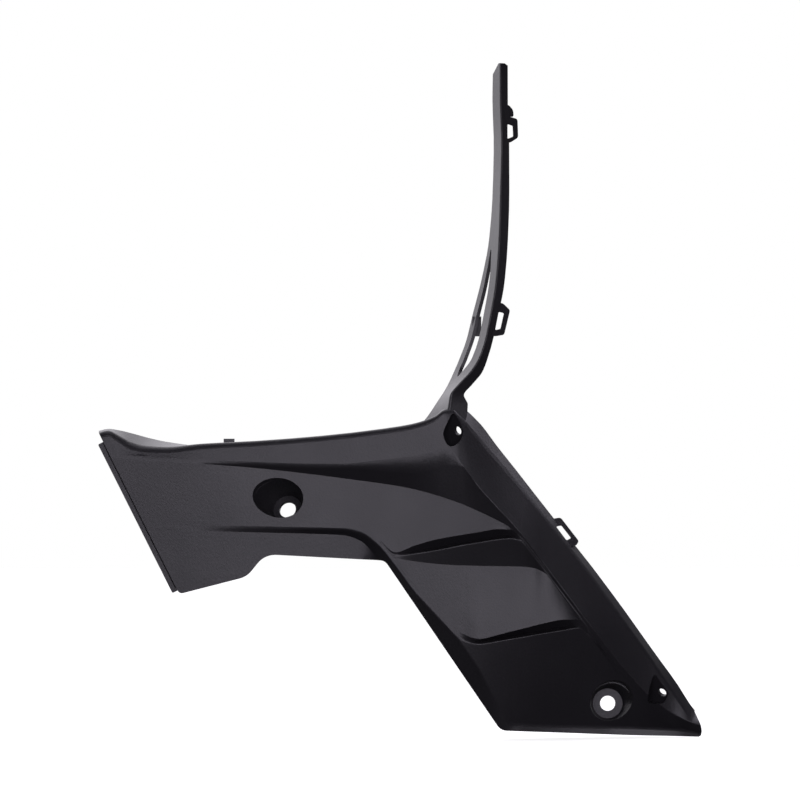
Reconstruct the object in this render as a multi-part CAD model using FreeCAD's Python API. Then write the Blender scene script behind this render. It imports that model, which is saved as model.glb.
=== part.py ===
import FreeCAD, Part
import bisect
import os

# Side footboard of a scooter, one black injection moulding with a rising leg shield arm.
# X runs forward, Y runs inward to the middle of the scooter, Z runs up, in millimetres.
# The origin is the middle of the lower bolt hole, on the seat its washer rests on.

V = FreeCAD.Vector

# walls
wall = 2.5
face_depth = 46.0
face_lean = 0.04
lean_from_x = -112.0
flange_width = 30.0
flange_tip_width = 12.0
lip_depth = 6.0
lip_flare = 0.4
foot_drop = 8.0
tail_end_x = -160.0
tail_foot_z = 66.0

# stepped faces
upper_step = 10.0
lower_step = 7.2
slit_depth = 7.0
upper_slit_rise = 0.8
lower_slit_rise = 0.9
ridge_fall = 0.4
edge_wall_depth = 12.0

# rounded edges
crest_round = 4.0
front_crest_round = 1.8
fold_round = 6.0
rear_fold_round = 1.5
front_fold_round = 0.4
ridge_round = 0.8
edge_round = 1.2

# lower bolt
bolt_hole_dia = 10.0
bolt_seat_dia = 19.5
bolt_mouth_dia = 26.0
bolt_mouth_shift = 1.6
bolt_depth = 9.5

# floor bolt well
well_x = -214.0
well_z = 134.7
well_width = 31.5
well_height = 24.3
well_depth = 18.0
well_shift_x = 4.5
well_shift_z = -7.2
well_seat_dia = 19.0
well_hole_dia = 11.0
well_face_fall = 2.5
pocket_reach = 30.0

# screw pockets, each a teardrop in side view with a sloped floor that the screw crosses
screw_hole_dia = 5.8
screw_floor = wall
upper_screw = V(-98.7, -38.5, 178.9)
upper_screw_axis = V(0.62, 0.74, 0.27)
upper_pocket = [(-102, 191.5), (-94.3, 182), (-96.2, 173), (-101.5, 168.4), (-106, 169.6),
                (-108.8, 177.5)]
lower_screw = V(35.4, -8.0, 7.5)
lower_screw_axis = V(0.46, 0.74, 0.49)
lower_pocket = [(29.8, 20.5), (40.4, 8.4), (36.6, 0.2), (25.2, 0.6), (26.6, 11)]
pocket_corner = 3.5

# leg shield arm
arm_side_depth = 5.2
arm_set_back = 1.2
arm_foot_x = -107.0
arm_foot_z = 190.0
arm_lean = 0.04
arm_round = 1.6
arm_top = 418.0
arm_tip_cut = 12.0
arm_tip_margin = 8.0

# clip loops
loop_thickness = 2.6
loop_clearance = 8.0
loop_set_back = 3.0
loop_slant = 0.6
side_loop_way = V(0.77, 0, 0.64)
loop_corner = 1.5
loop_gap_corner = 0.8
top_loop_z = 373.0
middle_loop_z = 250.0
side_loop_x = -28.0
side_loop_set_back = 2.0

# lap tongue along the rear edge
lap_step = 1.4
lap_width = 3.8
lap_overlap = 2.5
lap_start = 4.5
lap_end = 2.5
lap_corner = 1.0

# small clip nub on the floor flange
nub_x = -247.5
nub_length = 7.0
nub_width = 8.0
nub_height = 2.0
nub_set_back = 10.0

# character lines in side view as (x, z)
crest_line = [(-338, 175), (-326, 178.8), (-321, 176.5), (-314, 171.6), (-303, 168.3), (-288, 168),
              (-271, 170.3), (-234, 172.4), (-195, 175.3), (-156, 179.5), (-126, 184.2), (-114, 188.5),
              (-107, 192.5), (-102, 192.5), (-97, 187.5), (-81, 169), (-59, 143.5), (-32, 110.5), (-8, 79.6),
              (15, 47.1), (33, 22.1), (46, 2.6), (54, -8.5), (61.5, -12)]
outer_line = [(-338, 177), (-326, 180.1), (-315, 178.1), (-302, 174.5), (-288, 171.4), (-266, 169),
              (-201, 172.5), (-126, 182.5), (-114, 187), (-107, 193.8), (-102, 194.5), (-97, 194), (-93, 192),
              (-71, 166.4), (-48, 137.2), (-25, 107.9), (-2, 78.7), (19, 49.4), (40, 20.2), (54, 0.2),
              (58, -7.9), (61.5, -9)]
fold_line = [(-338, 163), (-266, 158.9), (-182, 156), (-136, 156), (-117, 158.6), (-107, 162.5),
             (-97, 157.3), (-84, 141.1), (-59, 113.8), (-42, 91.7), (-19, 61.1), (0, 36.4), (20, 12.5),
             (36, -2), (52, -11), (61.5, -14)]
upper_step_line = [(-338, 160.5), (-266, 157.5), (-236, 155.3), (-208, 152.4), (-167, 147.2), (-132, 142),
                   (-100, 132.9), (-80, 124.2), (-66, 117), (-61, 113.5), (-42, 90.5)]
upper_slit_line = [(-139, 100.1), (-115, 107.9), (-89, 112.5), (-66, 115.5), (-61, 112.4), (-42, 89.5)]
upper_ridge_line = [(-139, 97.9), (-115, 101.4), (-89, 106.3), (-62, 109.6), (-55, 104.4), (-43, 88.8)]
lower_step_line = [(-139, 96.7), (-123, 93.6), (-102, 91.7), (-80, 91), (-55, 90.6), (-43, 87.4),
                   (-30, 70.5)]
lower_slit_line = [(-139, 95.6), (-115, 68.6), (-95, 46.6), (-89, 43.6), (-63, 48.9), (-37, 55.1),
                   (-24, 57.2)]
lower_ridge_line = [(-139, 93.6), (-115, 64.8), (-95, 42.8), (-89, 40.6), (-66, 43.7), (-38, 48.4),
                    (-21, 51)]
edge_line = [(-338, 118), (-267, 116.5), (-236, 116.2), (-201, 115.5), (-173, 114.9), (-163, 113.1),
             (-152, 106.1), (-144, 97.5), (-132, 80.1), (-115, 61.1), (-95, 39.5), (-84, 22.1), (-70, -3),
             (-64, -12.3), (-58, -13.2), (-19, -15), (20, -15.9), (52, -17.6), (61.5, -20)]
band_line = [(-338, 115), (-267, 114), (-219, 112.6), (-173, 111), (-165, 109), (-156, 102.2), (-149, 94.1),
             (-144, 88.4), (-130, 68.9), (-117, 49.4), (-104, 29.9), (-89, 8.9), (-74, -12), (-69, -17.2),
             (-60, -17.4), (-19, -19.4), (15, -20.9), (52, -21.6), (61.5, -23)]

# depth of the lines behind the upper face as (x, depth)
crest_fall = [(-338, 1.5), (-112, 1.5), (-102, 4), (-81, 11), (-59, 16), (-32, 21), (-8, 28), (15, 33),
              (33, 40), (46, 43.5), (54, 44), (61.5, 42)]
fold_fall = [(-338, 0), (-112, 0), (-97, 0.5), (-84, 1.2), (-59, 3.5), (-42, 10), (-19, 13), (0, 22),
             (20, 32), (36, 39), (48, 42), (61.5, 41)]
edge_fall = [(-338, 0), (-266, 0), (-163, 3.8), (-144, 4.6), (-132, 5.5), (-115, 6.8), (-95, 8.4),
             (-84, 12.5), (-70, 22.5), (-64, 27.5), (-58, 30), (-19, 43), (20, 50), (42, 49), (61.5, 44)]
lower_edge_fall = [(-139, 4.5), (-115, 4.8), (-89, 4.8), (-66, 4.6), (-61, 4.4), (-55, 5.6), (-42, 10.8),
                   (-16, 14)]
middle_edge_fall = [(-139, 4.7), (-95, 6.9), (-63, 8.5), (-37, 10), (-24, 11.4), (-16, 15.2)]
lower_ridge_fall = [(-139, 5), (-95, 7.8), (-63, 9.8), (-37, 11.6), (-24, 13), (-16, 15.6)]

# shares of the steps and slits along X as (x, share)
upper_step_share = [(-266, 0), (-200, 0.4), (-132, 0.9), (-100, 0.75), (-80, 0.5), (-66, 0.2), (-61, 0.1),
                    (-16, 0.03)]
lower_step_share = [(-139, 0), (-110, 0.42), (-80, 0.82), (-62, 1), (-52, 0.8), (-43, 0.08), (-16, 0.05)]
upper_slit_share = [(-139, 0), (-112, 1), (-72, 1), (-58, 0)]
lower_slit_share = [(-92, 0), (-72, 1), (-32, 1), (-17, 0)]
lower_slit_start = [(-98, 0), (-86, 1)]
edge_wall_share = [(-338, 0), (-266, 0), (-173, 0.5), (-144, 0.75), (-115, 0.92), (-84, 1), (-74, 0.65),
                   (-69, 0.15), (-60, 0)]
lip_share = [(-74, 0), (-60, 1)]
flange_share = [(-338, 0), (-290, 1)]
lip_share_front = [(-114, 0), (-103, 1)]

# rounds of the crest and of the fold along X as (x, round)
crest_rounds = [(-114, crest_round), (-95, front_crest_round)]
fold_rounds = [(-170, rear_fold_round), (-125, fold_round), (-107, fold_round), (-95, front_fold_round)]

# arm lines as (z, x) and widths as (z, width)
arm_ridge_line = [(184, -106), (195.7, -104.5), (202, -103.6), (209.3, -98), (216.5, -91), (224.2, -85.6),
                  (236.6, -81), (253.5, -77.4), (269, -74.6), (289, -72.4), (328.9, -71), (366, -70),
                  (387.4, -70.8), (418, -71)]
arm_back_line = [(184, -124), (187.5, -119), (196, -113), (206.7, -106), (221.7, -99), (237.2, -93),
                 (253.5, -89), (277.2, -83), (304.2, -78), (328.9, -76), (361.4, -75), (403.7, -76),
                 (418, -75.5)]
arm_front_line = [(184, -95), (194.5, -91.5), (200, -95), (205.4, -92.8), (212, -86), (218.4, -82),
                  (225, -79.5), (238, -75.7), (251, -73), (264, -69.8), (277, -68), (293, -66.6), (329, -65),
                  (361, -65), (391, -66), (418, -66)]
arm_side_share = [(181, 0.75), (200, 0.85), (215, 1)]
arm_depth_line = [(184, 29), (205, 31), (237, 33), (253, 31), (277, 25.5), (304, 19.5), (361, 15), (418, 13)]

# arm slot as (share of the arm depth, z)
arm_slot = [(0.60, 213), (0.38, 224), (0.39, 253), (0.48, 282), (0.66, 297), (0.74, 297), (0.75, 282),
            (0.78, 253), (0.79, 232), (0.76, 218)]
arm_slot_corner = 3.0
arm_cut_start = -140.0
arm_cut_length = 90.0
slot_tab_height = 13.0
slot_tab_z = 247.0
slot_tab_reach = 6.0

# clip loops in side view as (x, z)
top_loop = [(-69, 366), (-64.2, 366.6), (-59.2, 369.9), (-59.6, 381.9), (-65.3, 383.5), (-69, 383.5)]
top_loop_slot = [(-66.2, 368.8), (-62.5, 370.5), (-62.9, 377.5), (-66.2, 378.5)]
top_hook = [(-69, 383), (-62.1, 383.4), (-62.5, 387.7), (-65.4, 391), (-69, 391)]
middle_loop = [(-77, 240.5), (-74.4, 240.3), (-68.4, 241.3), (-64.5, 257.4), (-69.4, 262), (-72, 262)]
middle_loop_slot = [(-74.3, 244.4), (-70.9, 245.1), (-68.6, 255.4), (-72, 256.2)]
side_loop = [(-38.5, 118.5), (-36.3, 121.6), (-31.3, 122.2), (-19.4, 106.8), (-21.3, 104), (-25.5, 103)]
side_loop_slot = [(-34.4, 116.4), (-31, 117), (-24.6, 108.8), (-27.6, 107.4)]

# rear and lower outline of the panel in side view as (x, z, corner)
rear_top = (-331.1, 175.7)
rear_foot = (-279.5, 72.9)
outline = [(rear_foot[0], rear_foot[1], 3), (-235.5, 84.2, 5), (-224, 98.7, 8), (-146, 94.4, 3),
           (-70.5, -16.7, 4), (-19, -19.3, 15), (15, -20.9, 15), (60.9, -21.5, 2.5), (61.4, -15.5, 5),
           (56.6, -4.6, 0)]
outline_top = 240.0
outline_front = 90.0

# stations of the sections, and the stretch along X where the stepped faces run
x_stations = [-338, -326, -319, -312, -302, -288, -266, -230, -195, -173, -162, -151, -139, -127,
              -114, -107, -102, -97, -85, -72, -64, -58, -50, -42, -30, -20, -12, 8, 30, 46, 55, 61.5]
z_stations = [181, 190, 196, 202, 209, 217, 226, 238, 254, 275, 304, 335, 366, 395, arm_top]
step_start = -141
step_end = -16
row_gap = 1.0
rear_row_start = 1.6
rear_row_gap = 0.4
least_fall = 0.3
cut_margin = 1.0


def slopes(stations, values):
    """Slopes of a shape-keeping curve through values, without any overshoot."""
    gaps = [b - a for a, b in zip(stations, stations[1:])]
    rises = [(b - a) / g for a, b, g in zip(values, values[1:], gaps)]
    out = [rises[0]]
    for i in range(1, len(rises)):
        if rises[i - 1] * rises[i] <= 0:
            out.append(0.0)
            continue
        first = 2 * gaps[i] + gaps[i - 1]
        second = gaps[i] + 2 * gaps[i - 1]
        out.append((first + second) / (first / rises[i - 1] + second / rises[i]))
    out.append(rises[-1])
    return out


def at(line, s):
    """Value of a line given by points (station, value), held level outside its ends."""
    stations = [p[0] for p in line]
    values = [p[1] for p in line]
    if s <= stations[0]:
        return values[0]
    if s >= stations[-1]:
        return values[-1]
    m = slopes(stations, values)
    i = bisect.bisect_right(stations, s) - 1
    h = stations[i + 1] - stations[i]
    t = (s - stations[i]) / h
    keep = 1 - t
    return (values[i] * (1 + 2 * t) * keep * keep + m[i] * h * t * keep * keep
            + values[i + 1] * t * t * (3 - 2 * t) - m[i + 1] * h * t * t * keep)


def curve_poles(stations, points):
    """Control points of the smooth curve through points at the stations."""
    parts = [slopes(stations, [p[k] for p in points]) for k in range(3)]
    poles = [points[0]]
    for i in range(len(points) - 1):
        h = (stations[i + 1] - stations[i]) / 3
        poles.append(points[i] + V(*[m[i] for m in parts]) * h)
        poles.append(points[i + 1] - V(*[m[i + 1] for m in parts]) * h)
    poles.append(points[-1])
    return poles


def patch(stations, rows):
    """Face spanned by two rows (ruled) or three rows (rounded), smooth along the stations."""
    surface = Part.BSplineSurface()
    mults = [4] + [2] * (len(stations) - 2) + [4]
    across = len(rows)
    surface.buildFromPolesMultsKnots([curve_poles(stations, r) for r in rows], [across, across], mults,
                                     [0.0, 1.0], [float(s) for s in stations], False, False, across - 1, 3)
    return surface.toShape()


def segment_edge(segment):
    """Straight edge of two points or rounded edge of three."""
    if len(segment) == 2:
        return Part.makeLine(*segment)
    curve = Part.BezierCurve()
    curve.setPoles(segment)
    return curve.toShape()


def ring_solid(stations, rings):
    """Solid through closed rings of segments, one ring at each station."""
    faces = []
    for k, segment in enumerate(rings[0]):
        faces.append(patch(stations, [[ring[k][j] for ring in rings] for j in range(len(segment))]))
    for ring in (rings[0], rings[-1]):
        faces.append(Part.Face(Part.Wire([segment_edge(s) for s in ring])))
    shell = Part.makeShell(faces)
    shell.sewShape()
    solid = Part.makeSolid(shell)
    if solid.Volume < 0:
        solid.reverse()
    return solid


def chain(points, rounds):
    """Segments of an open chain of points with its inner corners rounded."""
    out = []
    last = points[0]
    for i in range(1, len(points) - 1):
        if rounds[i] == 0:
            out.append([last, points[i]])
            last = points[i]
            continue
        before = points[i - 1] - points[i]
        after = points[i + 1] - points[i]
        first = points[i] + before * min(rounds[i] / before.Length, 0.45)
        second = points[i] + after * min(rounds[i] / after.Length, 0.45)
        out.append([last, first])
        out.append([first, points[i], second])
        last = second
    out.append([last, points[-1]])
    return out


def inset(points, normal, distance):
    """Chain moved sideways in its plane, with sharp corners kept inside the wall."""
    sides = []
    for a, b in zip(points, points[1:]):
        side = normal.cross(b - a)
        sides.append(side.normalize())
    out = [points[0] + sides[0] * distance]
    for i in range(1, len(points) - 1):
        both = sides[i - 1] + sides[i]
        reach = min(2.0 / max(both.Length, 0.01) ** 2, 0.95)
        out.append(points[i] + both * distance * reach)
    out.append(points[-1] + sides[-1] * distance)
    return out


def settled(points, first):
    """Points in falling order of height from the first one named on."""
    out = list(points)
    for i in range(first, len(out)):
        out[i] = V(out[i].x, out[i].y, min(out[i].z, out[i - 1].z - least_fall))
    return out


def sheet_ring(points, normal, rounds, falling_from=None):
    """Closed ring of a bent wall, from its outer chain."""
    inner = inset(points, normal, wall)
    if falling_from:
        inner = settled(inner, falling_from)
    back = inner[::-1]
    return (chain(points, rounds) + [[points[-1], back[0]]] + [list(pair) for pair in zip(back, back[1:])]
            + [[back[-1], points[0]]])


def face_y(x, fall):
    """Y of a point at a depth behind the leaning upper face."""
    return -face_depth - face_lean * (x - lean_from_x) + fall


def panel_chain(x):
    """Outer section of the panel at one x, from the top edge to the foot."""
    edge_z = at(edge_line, x)
    edge_y = at(edge_fall, x)
    fold_z = at(fold_line, x)
    fold_y = at(fold_fall, x)
    step_z = min(at(upper_step_line, x), fold_z - row_gap)
    step_y = fold_y + upper_step * at(upper_step_share, x)
    rows = []
    upper_y = at(lower_edge_fall, x)
    middle_y = at(middle_edge_fall, x)
    ridge = at(upper_ridge_line, x)
    low_ridge = at(lower_ridge_line, x)
    low_ridge_y = at(lower_ridge_fall, x)
    active = [(at(upper_slit_line, x), upper_y),
              (ridge + upper_slit_rise, upper_y + ridge_fall + slit_depth * at(upper_slit_share, x)),
              (ridge, upper_y + ridge_fall),
              (at(lower_step_line, x), upper_y + ridge_fall + lower_step * at(lower_step_share, x)),
              (at(lower_slit_line, x), middle_y),
              (low_ridge + lower_slit_rise, low_ridge_y + slit_depth * at(lower_slit_share, x)),
              (low_ridge, low_ridge_y)]
    count = len(active)
    if x < step_start:
        for k in range(count):
            z = edge_z + rear_row_start + (count - k) * rear_row_gap
            t = (z - edge_z) / (step_z - edge_z)
            rows.append((z, edge_y + (step_y - edge_y) * t))
    elif x > step_end:
        room = min(row_gap, (fold_z - edge_z) / (count + 3))
        step_z = fold_z - room
        step_y = fold_y + (edge_y - fold_y) * room / (fold_z - edge_z)
        for k in range(count):
            z = step_z - (k + 1) * room
            t = (fold_z - z) / (fold_z - edge_z)
            rows.append((z, fold_y + (edge_y - fold_y) * t))
    else:
        rows = active
        slit = at(lower_slit_start, x)
        for k in (4, 5, 6):
            t = (rows[3][0] - rows[k][0]) / (rows[3][0] - edge_z)
            flush = rows[3][1] + (edge_y - rows[3][1]) * t
            rows[k] = (rows[k][0], flush + (rows[k][1] - flush) * slit)
        for k in range(count):
            top = step_z if k == 0 else rows[k - 1][0]
            rows[k] = (min(rows[k][0], top - row_gap), rows[k][1])
    band_z = at(band_line, x)
    band_y = edge_y + edge_wall_depth * at(edge_wall_share, x) - lip_flare * at(lip_share, x)
    if x < tail_end_x:
        foot = (tail_foot_z, band_y)
    else:
        foot = (band_z - foot_drop, band_y + foot_drop * (band_y - edge_y) / (edge_z - band_z))
    crest_y = at(crest_fall, x)
    rear_reach = flange_tip_width + (flange_width - flange_tip_width) * at(flange_share, x)
    reach = rear_reach + (lip_depth - rear_reach) * at(lip_share_front, x)
    lines = [(at(outer_line, x), crest_y + reach), (at(crest_line, x), crest_y), (fold_z, fold_y),
             (step_z, step_y)] + rows + [(edge_z, edge_y), (band_z, band_y), foot]
    return [V(x, face_y(x, fall), z) for z, fall in lines]


def panel_rounds(x):
    """Edge rounds of the rows in one section, with zero where an edge is sharp."""
    crest = at(crest_rounds, x)
    fold = at(fold_rounds, x)
    return [0, crest, fold, 0, 0, 0, ridge_round, 0, 0, 0, ridge_round, edge_round, 0, 0]


def panel_sheet():
    """Bent wall of the panel, before its outline is trimmed."""
    rings = [sheet_ring(panel_chain(x), V(1, 0, 0), panel_rounds(x), 2) for x in x_stations]
    return ring_solid(x_stations, rings)


def behind_panel():
    """Everything behind the middle of the panel wall."""
    rings = []
    for x in x_stations:
        points = [p + V(0, wall / 2, 0) for p in panel_chain(x)]
        low = V(x, flange_width + face_depth, points[-1].z)
        high = V(x, flange_width + face_depth, points[0].z)
        rings.append(chain(points, panel_rounds(x)) + [[points[-1], low], [low, high], [high, points[0]]])
    return ring_solid(x_stations, rings)


def prism(points, corners, sweep):
    """Closed outline with rounded corners, swept into a solid."""
    count = len(points)
    ends = []
    for i in range(count):
        before = points[i - 1] - points[i]
        after = points[(i + 1) % count] - points[i]
        ends.append((points[i] + before * min(corners[i] / before.Length, 0.48),
                     points[i] + after * min(corners[i] / after.Length, 0.48)))
    edges = []
    for i in range(count):
        if corners[i] > 0:
            edges.append(segment_edge([ends[i][0], points[i], ends[i][1]]))
        edges.append(Part.makeLine(ends[i][1], ends[(i + 1) % count][0]))
    return Part.Face(Part.Wire(edges)).extrude(sweep)


def side_prism(points, corner, y_from, y_to, slant=V(0, 0, 0)):
    """Prism along Y over an outline in side view, leaning back by a slant from its first point."""
    corners = [p[2] if len(p) > 2 else corner for p in points]
    start = V(points[0][0], 0, points[0][1])
    ring = []
    for p in points:
        away = V(p[0], 0, p[1]) - start
        ring.append(V(p[0], y_from + away.dot(slant), p[1]))
    return prism(ring, corners, V(0, y_to - y_from, 0))


def outline_prism():
    """Room inside the rear and lower outline of the panel."""
    lean = (rear_foot[0] - rear_top[0]) / (rear_top[1] - rear_foot[1])
    points = [(rear_top[0] - lean * (outline_top - rear_top[1]), outline_top, 0)] + outline
    points += [(outline_front, outline[-1][1], 0), (outline_front, outline_top, 0)]
    return side_prism(points, 0, -face_depth * 2, face_depth * 2)


def lap_tongue():
    """Thin tongue set back along the rear edge."""
    along = V(rear_foot[0] - rear_top[0], 0, rear_foot[1] - rear_top[1])
    along.normalize()
    out = V(along.z, 0, -along.x)
    top = V(rear_top[0], 0, rear_top[1]) + along * lap_start
    foot = V(rear_foot[0], 0, rear_foot[1]) - along * lap_end
    corners = [top - out * lap_overlap, top + out * lap_width,
               foot + out * lap_width, foot - out * lap_overlap]
    corners = [V(c.x, face_y(c.x, lap_step), c.z) for c in corners]
    return prism(corners, [0, lap_corner, lap_corner, 0], V(0, wall, 0))


def arm_y(z):
    """Y of the arm's ridge at one height."""
    return face_y(arm_foot_x, at(crest_fall, arm_foot_x)) + arm_set_back + arm_lean * (z - arm_foot_z)


def arm_chain(z):
    """Outer section of the arm at one height, from its back edge round the ridge to its front edge."""
    y = arm_y(z)
    return [V(at(arm_back_line, z), y + at(arm_depth_line, z), z), V(at(arm_ridge_line, z), y, z),
            V(at(arm_front_line, z), y + arm_side_depth * at(arm_side_share, z), z)]


def arm_sheet():
    """Bent wall of the arm with its slot and its slanted tip."""
    rings = [sheet_ring(arm_chain(z), V(0, 0, 1), [0, arm_round, 0]) for z in z_stations]
    arm = ring_solid(z_stations, rings)
    across = V(arm_cut_length, 0, 0)
    slot = [V(arm_cut_start, arm_y(z) + share * at(arm_depth_line, z), z) for share, z in arm_slot]
    arm = arm.cut(prism(slot, [arm_slot_corner] * len(slot), across))
    y = arm_y(arm_top)
    back = y + at(arm_depth_line, arm_top) + arm_tip_margin
    tip = [V(arm_cut_start, y + arm_round, arm_top + cut_margin),
           V(arm_cut_start, back, arm_top + cut_margin),
           V(arm_cut_start, back, arm_top - arm_tip_cut)]
    return arm.cut(prism(tip, [0] * 3, across))


def flange_nub():
    """Small clip nub standing on the floor flange."""
    y = face_y(nub_x, at(crest_fall, nub_x)) + nub_set_back
    return Part.makeBox(nub_length, nub_width, nub_height + wall,
                        V(nub_x - nub_length / 2, y, at(crest_line, nub_x) - wall))


def slot_tab():
    """Small tab on the back strip of the arm, inside its slot."""
    y = arm_y(slot_tab_z) + at(arm_depth_line, slot_tab_z)
    x = at(arm_back_line, slot_tab_z)
    return Part.makeBox(slot_tab_reach, wall, slot_tab_height,
                        V(x + wall * 0.6, y - wall * 1.6, slot_tab_z - slot_tab_height / 2))


def oval(middle, normal, width, height):
    """Oval wire across a normal, its width level along X as far as the normal allows."""
    along = V(1, 0, 0) - normal * normal.x
    along.normalize()
    up = normal.cross(along)
    if width == height:
        return Part.Wire(Part.makeCircle(width, middle, normal))
    return Part.Wire(Part.Ellipse(middle + along * width, middle + up * height, middle).toShape())


def bolt_pocket(seat, mouth, normal, seat_dia, mouth_size, grow, reach, floor):
    """Tapered pocket from a round seat to an oval mouth, reaching past the mouth and below the seat."""
    axis = mouth - seat
    rings = []
    for t in (0, 1 + reach / axis.Length):
        width = seat_dia / 2 + (mouth_size[0] / 2 - seat_dia / 2) * t + grow
        height = seat_dia / 2 + (mouth_size[1] / 2 - seat_dia / 2) * t + grow
        rings.append(oval(seat + axis * t, normal, width, height))
    cone = Part.makeLoft(rings, True, True)
    if floor > 0:
        cone = cone.fuse(Part.makeCylinder(seat_dia / 2 + grow, floor, seat, normal * -1))
    return cone


def drill(middle, axis, diameter, front, back):
    """Round bar along an axis, from a length in front of a point to a length behind it."""
    along = V(axis)
    along.normalize()
    return Part.makeCylinder(diameter / 2, front + back, middle - along * front, along)


def screw_pocket(outline_points, screw, axis, grow, floor):
    """Teardrop pocket down to its sloped floor."""
    count = len(outline_points)
    mid_x = sum(p[0] for p in outline_points) / count
    mid_z = sum(p[1] for p in outline_points) / count
    grown = []
    for x, z in outline_points:
        away = V(x - mid_x, 0, z - mid_z)
        away = away * ((away.Length + grow) / away.Length)
        grown.append((mid_x + away.x, mid_z + away.z))
    shaft = side_prism(grown, pocket_corner, -face_depth * 2, face_depth)
    return shaft.common(drill(screw, axis, 4 * face_depth, 2 * face_depth, floor))


def clip_loop(plate, y, way):
    """Plate of a clip loop, leaning back along its way out from the panel."""
    return side_prism(plate, loop_corner, y, y + loop_thickness, way * loop_slant)


def loop_gap(slot, y):
    """Gap through a clip loop, cut past both of its faces."""
    return side_prism(slot, loop_gap_corner, y - loop_clearance, y + loop_thickness + loop_clearance)


bolt_seat = V(0, 0, 0)
bolt_mouth = V(bolt_mouth_shift, -bolt_depth, 0)
bolt_axis = V(0, -1, 0)
well_mouth = V(well_x, face_y(well_x, well_face_fall), well_z)
well_seat = well_mouth + V(well_shift_x, well_depth, well_shift_z)
well_axis = well_mouth - well_seat
well_axis.normalize()
bolts = [(bolt_seat, bolt_mouth, bolt_axis, bolt_seat_dia, (bolt_mouth_dia, bolt_mouth_dia)),
         (well_seat, well_mouth, well_axis, well_seat_dia, (well_width, well_height))]
screws = [(upper_pocket, upper_screw, upper_screw_axis), (lower_pocket, lower_screw, lower_screw_axis)]
loop_y = arm_y(top_loop_z) + loop_set_back
middle_loop_y = arm_y(middle_loop_z) + loop_set_back
side_loop_y = face_y(side_loop_x, at(crest_fall, side_loop_x)) + side_loop_set_back

room = behind_panel()
added = [lap_tongue(), arm_sheet(), slot_tab(), flange_nub(),
         clip_loop(top_loop, loop_y, V(1, 0, 0)), clip_loop(top_hook, loop_y, V(1, 0, 0)),
         clip_loop(middle_loop, middle_loop_y, V(1, 0, 0)), clip_loop(side_loop, side_loop_y, side_loop_way)]
added += [bolt_pocket(*b, wall, wall, wall).common(room) for b in bolts]
added += [screw_pocket(*s, wall, screw_floor).common(room) for s in screws]

cuts = [bolt_pocket(*b, 0, pocket_reach, 0) for b in bolts]
cuts += [screw_pocket(*s, 0, 0) for s in screws]
cuts += [drill(s[1], s[2], screw_hole_dia, wall, screw_floor + cut_margin) for s in screws]
cuts.append(drill(bolt_seat, bolt_axis, bolt_hole_dia, 2 * wall, wall))
cuts.append(drill(well_seat, well_axis, well_hole_dia, 2 * wall, wall))
cuts += [loop_gap(top_loop_slot, loop_y), loop_gap(middle_loop_slot, middle_loop_y),
         loop_gap(side_loop_slot, side_loop_y)]

panel = panel_sheet().common(outline_prism())
panel = panel.fuse(added).cut(cuts)
os.makedirs("parts", exist_ok=True)
panel.Solids[0].exportStep("parts/side_footboard.step")
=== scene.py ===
import math

import bmesh
import bpy
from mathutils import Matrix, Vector
from mathutils.bvhtree import BVHTree


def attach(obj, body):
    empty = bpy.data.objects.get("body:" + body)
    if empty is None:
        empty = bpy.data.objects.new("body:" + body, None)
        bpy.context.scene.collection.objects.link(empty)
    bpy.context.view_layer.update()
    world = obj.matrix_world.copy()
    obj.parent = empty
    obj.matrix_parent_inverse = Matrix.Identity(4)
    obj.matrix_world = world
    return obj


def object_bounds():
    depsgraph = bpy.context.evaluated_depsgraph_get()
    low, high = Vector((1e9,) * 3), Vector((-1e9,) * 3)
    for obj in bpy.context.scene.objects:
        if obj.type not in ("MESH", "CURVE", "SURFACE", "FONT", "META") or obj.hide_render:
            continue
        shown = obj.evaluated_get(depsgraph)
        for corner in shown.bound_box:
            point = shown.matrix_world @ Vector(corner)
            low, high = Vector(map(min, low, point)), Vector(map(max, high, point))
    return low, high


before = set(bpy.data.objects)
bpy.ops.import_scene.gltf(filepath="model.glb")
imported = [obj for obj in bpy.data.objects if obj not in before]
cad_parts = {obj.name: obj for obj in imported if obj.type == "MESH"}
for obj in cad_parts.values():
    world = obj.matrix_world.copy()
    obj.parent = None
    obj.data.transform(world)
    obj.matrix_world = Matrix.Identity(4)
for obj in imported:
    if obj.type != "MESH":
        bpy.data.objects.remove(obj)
cad_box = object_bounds()

# lengths are in metres, apart from those named in millimetres or pixels
MM_PER_METRE = 1000
WHITE = "#ffffff"

# the photograph's framing: its side in pixels, the pixel of the lower bolt, and the millimetres
# for one pixel on the plane at REFERENCE_Y
PICTURE = 800
BOLT_PIXEL = (609.5, 706.0)
MM_PER_PIXEL = 0.65
REFERENCE_Y = -0.035
CAMERA_DISTANCE = 4.0
SENSOR_MM = 36.0
LOOK_LEVEL = math.radians(90)

# black polypropylene as moulded: the tool's fine grain spreads its shine, and handling leaves it
# faintly mottled
PANEL_COLOUR = "#242326"
MOTTLE_COLOUR = "#2a292c"
PANEL_IOR = 1.49
SMOOTHEST = 0.38
ROUGHEST = 0.46
# the real grain is about 0.4 mm wide, too fine to show at this distance, so it is drawn coarser
GRAIN_MM = 1.4
GRAIN_DETAIL = 2.0
GRAIN_HEIGHT_MM = 0.2
GRAIN_STRENGTH = 0.4
MOTTLE_MM = 35.0
MOTTLE_DETAIL = 3.0

# the slope at the foot of the step beside the lap tongue: the ends of the panel's rear edge, what is
# left free at each end, the slope's width, how far it sinks into the panel, the number of its spans,
# and a plane outside the panel
REAR_TOP = Vector((-0.3311, 0.0, 0.1757))
REAR_FOOT = Vector((-0.2795, 0.0, 0.0729))
SLOPE_START = 0.005
SLOPE_END = 0.0045
SLOPE_WIDTH = 0.0009
SLOPE_SUNK = 0.0001
SLOPE_STATIONS = 24
OUTSIDE_Y = -0.2

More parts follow.
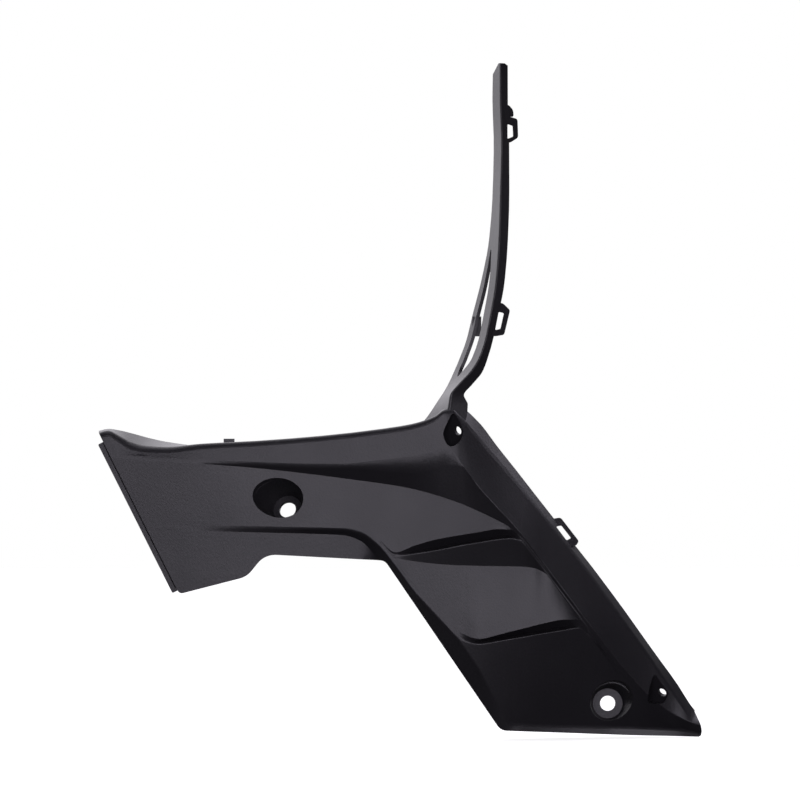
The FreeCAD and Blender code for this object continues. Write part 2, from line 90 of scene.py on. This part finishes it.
# the floor is white to the camera apart from the part's shadow, and throws little light back on the part
FLOOR_BOUNCE_COLOUR = "#303030"
FLOOR_ROUGHNESS = 0.9
FLOOR_GLOW = 0.8
FLOOR_SHADE_COLOUR = "#d0d0d0"
FLOOR_SIZE = 8.0
FLOOR_GAP = 0.0005

# the room is white to the camera; the part sees it dim, with a bright backdrop on the far side
SEEN_STRENGTH = 1.0
ROOM_COLOUR = "#f6f3fa"
ROOM_STRENGTH = 0.01
BACKDROP_STRENGTH = 2.0
BACKDROP_WAY = (-0.35, 0.94, 0.0)
FADE_START = 0.1
FADE_END = 0.8

# studio lamps of one faintly violet tint, in linear light: a wide softbox by the camera, a weak one
# overhead, and a small one at the upper right whose narrow spread keeps it off the top of the arm
LAMP_COLOUR = (1.0, 0.95, 1.08)
PART_MIDDLE = (-0.13, -0.03, 0.15)
WIDE_SPREAD = 180.0
FRONT_PLACE = (0.05, -2.46, 0.35)
FRONT_SIZE = (2.2, 1.2)
FRONT_WATTS = 30.0
TOP_PLACE = (-0.13, 0.0, 2.2)
TOP_SIZE = (1.5, 1.5)
TOP_WATTS = 6.0
SIDE_PLACE = (0.14, 0.06, 0.42)
SIDE_AIM = (-0.03, -0.03, 0.12)
SIDE_SIZE = (0.2, 0.2)
SIDE_WATTS = 0.15
SIDE_SPREAD = 80.0


def linear(hex_colour):
    """Linear RGBA of an sRGB hex colour."""
    channels = []
    for start in (1, 3, 5):
        level = int(hex_colour[start:start + 2], 16) / 255
        channels.append(level / 12.92 if level <= 0.04045 else ((level + 0.055) / 1.055) ** 2.4)
    return (*channels, 1.0)


def add(tree, kind, links=None, **values):
    """Adds a node, sets its properties and sockets, and links its inputs."""
    node = tree.nodes.new(kind)
    for key, value in values.items():
        if hasattr(node, key):
            setattr(node, key, value)
        else:
            node.inputs[key.replace("_", " ")].default_value = value
    for key, socket in (links or {}).items():
        tree.links.new(socket, node.inputs[key])
    return node


def moulded_polypropylene():
    """Black polypropylene with a fine spark-eroded grain and faint mottling."""
    material = bpy.data.materials.new("moulded_fine_grain_polypropylene")
    material.use_nodes = True
    tree = material.node_tree
    shader = tree.nodes["Principled BSDF"]
    place = add(tree, "ShaderNodeTexCoord")
    grain = add(tree, "ShaderNodeTexNoise", {"Vector": place.outputs["Object"]},
                Scale=MM_PER_METRE / GRAIN_MM, Detail=GRAIN_DETAIL)
    mottle = add(tree, "ShaderNodeTexNoise", {"Vector": place.outputs["Object"]},
                 Scale=MM_PER_METRE / MOTTLE_MM, Detail=MOTTLE_DETAIL)
    colour = add(tree, "ShaderNodeMix", {"Factor": mottle.outputs["Fac"]}, data_type="RGBA",
                 A=linear(PANEL_COLOUR), B=linear(MOTTLE_COLOUR))
    rough = add(tree, "ShaderNodeMapRange", {"Value": mottle.outputs["Fac"]},
                To_Min=SMOOTHEST, To_Max=ROUGHEST)
    bump = add(tree, "ShaderNodeBump", {"Height": grain.outputs["Fac"]},
               Strength=GRAIN_STRENGTH, Distance=GRAIN_HEIGHT_MM / MM_PER_METRE)
    shader.inputs["IOR"].default_value = PANEL_IOR
    tree.links.new(colour.outputs["Result"], shader.inputs["Base Color"])
    tree.links.new(rough.outputs["Result"], shader.inputs["Roughness"])
    tree.links.new(bump.outputs["Normal"], shader.inputs["Normal"])
    return material


def lap_step_slope(panel, material):
    """Slope from the panel's rear edge down to its lap tongue, seated on both."""
    skin = BVHTree.FromObject(panel, bpy.context.evaluated_depsgraph_get())
    along = (REAR_FOOT - REAR_TOP).normalized()
    out = Vector((along.z, 0.0, -along.x))
    run = (REAR_FOOT - REAR_TOP).length - SLOPE_START - SLOPE_END
    inward = Vector((0.0, 1.0, 0.0))

    def on_panel(point):
        """Where the panel's outer face lies, straight in from the outside."""
        return skin.ray_cast(Vector((point.x, OUTSIDE_Y, point.z)), inward)[0]

    form = bmesh.new()
    rings = []
    for station in range(SLOPE_STATIONS + 1):
        edge = REAR_TOP + along * (SLOPE_START + run * station / SLOPE_STATIONS)
        crest = on_panel(edge - out * SLOPE_SUNK) + inward * SLOPE_SUNK
        toe = on_panel(edge + out * SLOPE_WIDTH) + inward * SLOPE_SUNK
        heel = Vector((crest.x, toe.y, crest.z))
        rings.append([form.verts.new(corner) for corner in (crest, toe, heel)])
    for upper, lower in zip(rings, rings[1:]):
        for side in range(len(upper)):
            following = (side + 1) % len(upper)
            form.faces.new((upper[side], upper[following], lower[following], lower[side]))
    form.faces.new(rings[0])
    form.faces.new(rings[-1])
    bmesh.ops.recalc_face_normals(form, faces=form.faces)
    mesh = bpy.data.meshes.new("lap_step_slope")
    form.to_mesh(mesh)
    form.free()
    mesh.materials.append(material)
    slope = bpy.data.objects.new("lap_step_slope", mesh)
    bpy.context.scene.collection.objects.link(slope)
    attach(slope, "root")


def pale_floor():
    """Pale floor that the camera sees as white with a soft shadow."""
    bpy.ops.mesh.primitive_plane_add(size=FLOOR_SIZE, location=(0, 0, cad_box[0][2] - FLOOR_GAP))
    floor = bpy.context.object
    floor.name = "floor"
    material = bpy.data.materials.new("pale_paper_floor")
    material.use_nodes = True
    tree = material.node_tree
    bounce = tree.nodes["Principled BSDF"]
    bounce.inputs["Base Color"].default_value = linear(FLOOR_BOUNCE_COLOUR)
    bounce.inputs["Roughness"].default_value = FLOOR_ROUGHNESS
    glow = add(tree, "ShaderNodeEmission", Color=linear(WHITE), Strength=FLOOR_GLOW)
    shade = add(tree, "ShaderNodeBsdfDiffuse", Color=linear(FLOOR_SHADE_COLOUR))
    seen = add(tree, "ShaderNodeAddShader", {0: glow.outputs["Emission"], 1: shade.outputs["BSDF"]})
    path = add(tree, "ShaderNodeLightPath")
    mix = add(tree, "ShaderNodeMixShader", {
        "Fac": path.outputs["Is Camera Ray"],
        1: bounce.outputs["BSDF"],
        2: seen.outputs["Shader"],
    })
    tree.links.new(mix.outputs["Shader"], tree.nodes["Material Output"].inputs["Surface"])
    floor.data.materials.append(material)


def studio_world():
    """White to the camera; to the part, a bright backdrop behind it that fades to a dim room in front."""
    world = bpy.data.worlds.new("studio")
    bpy.context.scene.world = world
    world.use_nodes = True
    tree = world.node_tree
    place = add(tree, "ShaderNodeTexCoord")
    facing = add(tree, "ShaderNodeVectorMath", {0: place.outputs["Generated"]}, operation="DOT_PRODUCT")
    facing.inputs[1].default_value = BACKDROP_WAY
    fade = add(tree, "ShaderNodeMapRange", {"Value": facing.outputs["Value"]},
               interpolation_type="SMOOTHSTEP", From_Min=FADE_START, From_Max=FADE_END,
               To_Min=ROOM_STRENGTH, To_Max=BACKDROP_STRENGTH)
    room = tree.nodes["Background"]
    room.inputs["Color"].default_value = linear(ROOM_COLOUR)
    tree.links.new(fade.outputs["Result"], room.inputs["Strength"])
    white = add(tree, "ShaderNodeBackground", Color=linear(WHITE), Strength=SEEN_STRENGTH)
    path = add(tree, "ShaderNodeLightPath")
    mix = add(tree, "ShaderNodeMixShader", {
        "Fac": path.outputs["Is Camera Ray"],
        1: room.outputs["Background"],
        2: white.outputs["Background"],
    })
    tree.links.new(mix.outputs["Shader"], tree.nodes["World Output"].inputs["Surface"])


def softbox(name, place, aim, size, watts, spread=WIDE_SPREAD):
    """Soft light at a place, turned to its aim, with the spread of its beam in degrees."""
    data = bpy.data.lights.new(name, "AREA")
    data.shape = "RECTANGLE"
    data.size, data.size_y = size
    data.color = LAMP_COLOUR
    data.energy = watts
    data.spread = math.radians(spread)
    lamp = bpy.data.objects.new(name, data)
    bpy.context.scene.collection.objects.link(lamp)
    lamp.location = place
    away = lamp.location - Vector(aim)
    lamp.rotation_euler = away.to_track_quat("Z", "Y").to_euler()


def camera():
    """The photograph's view, square on from the outside, framed by the lower bolt at the origin."""
    scene = bpy.context.scene
    data = bpy.data.cameras.new("camera")
    data.sensor_width = SENSOR_MM
    width = PICTURE * MM_PER_PIXEL / MM_PER_METRE
    data.lens = SENSOR_MM * (CAMERA_DISTANCE + REFERENCE_Y) / width
    eye = bpy.data.objects.new("camera", data)
    scene.collection.objects.link(eye)
    middle = PICTURE / 2
    across = (middle - BOLT_PIXEL[0]) * MM_PER_PIXEL / MM_PER_METRE
    height = (BOLT_PIXEL[1] - middle) * MM_PER_PIXEL / MM_PER_METRE
    eye.location = (across, -CAMERA_DISTANCE, height)
    eye.rotation_euler = (LOOK_LEVEL, 0, 0)
    scene.camera = eye


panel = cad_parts["side_footboard"]
panel.data.materials.clear()
plastic = moulded_polypropylene()
panel.data.materials.append(plastic)
lap_step_slope(panel, plastic)
pale_floor()
studio_world()
softbox("front_softbox", FRONT_PLACE, PART_MIDDLE, FRONT_SIZE, FRONT_WATTS)
softbox("top_softbox", TOP_PLACE, PART_MIDDLE, TOP_SIZE, TOP_WATTS)
softbox("side_strip", SIDE_PLACE, SIDE_AIM, SIDE_SIZE, SIDE_WATTS, SIDE_SPREAD)
camera()
bpy.context.scene.view_settings.view_transform = "Standard"
